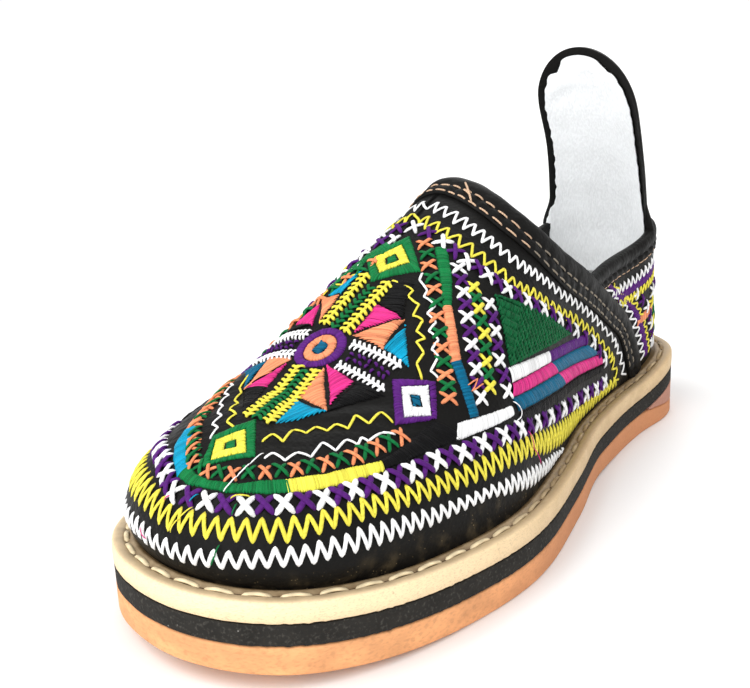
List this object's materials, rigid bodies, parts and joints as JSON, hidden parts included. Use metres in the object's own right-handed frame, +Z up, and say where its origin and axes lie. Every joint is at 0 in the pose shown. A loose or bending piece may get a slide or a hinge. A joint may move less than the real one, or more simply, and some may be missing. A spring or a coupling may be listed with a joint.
{
  "type": "embroidered slip-on shoe",
  "caption": "Left slip-on shoe: closed embroidered vamp, low quarters, tall tongue-shaped heel tab, stitched welt on a layered flat sole.",
  "frame": {"origin": "on the floor under the middle of the sole's box", "axes": "+Z up, +Y towards the heel, +X towards the wearer's outer side"},
  "size_m": [0.1037, 0.256, 0.1383],
  "materials": {
    "crepe_rubber": "orange crepe rubber, dull, finely pitted",
    "lift_rubber": "brown-pink rubber, dull",
    "black_foam": "black sole foam, dull, sanded edge",
    "tan_leather": "natural tan sole leather with an edge stain and cream stitches",
    "footbed_leather": "pale smooth footbed leather",
    "black_leather": "black smooth leather, soft gloss, covered with glossy thread embroidery",
    "binding_leather": "black thin leather, soft gloss, folded and stitched",
    "white_felt": "white napped felt lining, matt"
  },
  "bodies": {
    "root": {"outsole": "crepe_rubber", "heel_wedge": "lift_rubber", "midsole": "black_foam", "welt": "tan_leather", "insole": "footbed_leather", "upper": "black_leather", "throat_binding": "binding_leather", "topline_binding": "binding_leather", "heel_tab": "binding_leather", "tab_lining": "white_felt"}
  },
  "joints": []
}
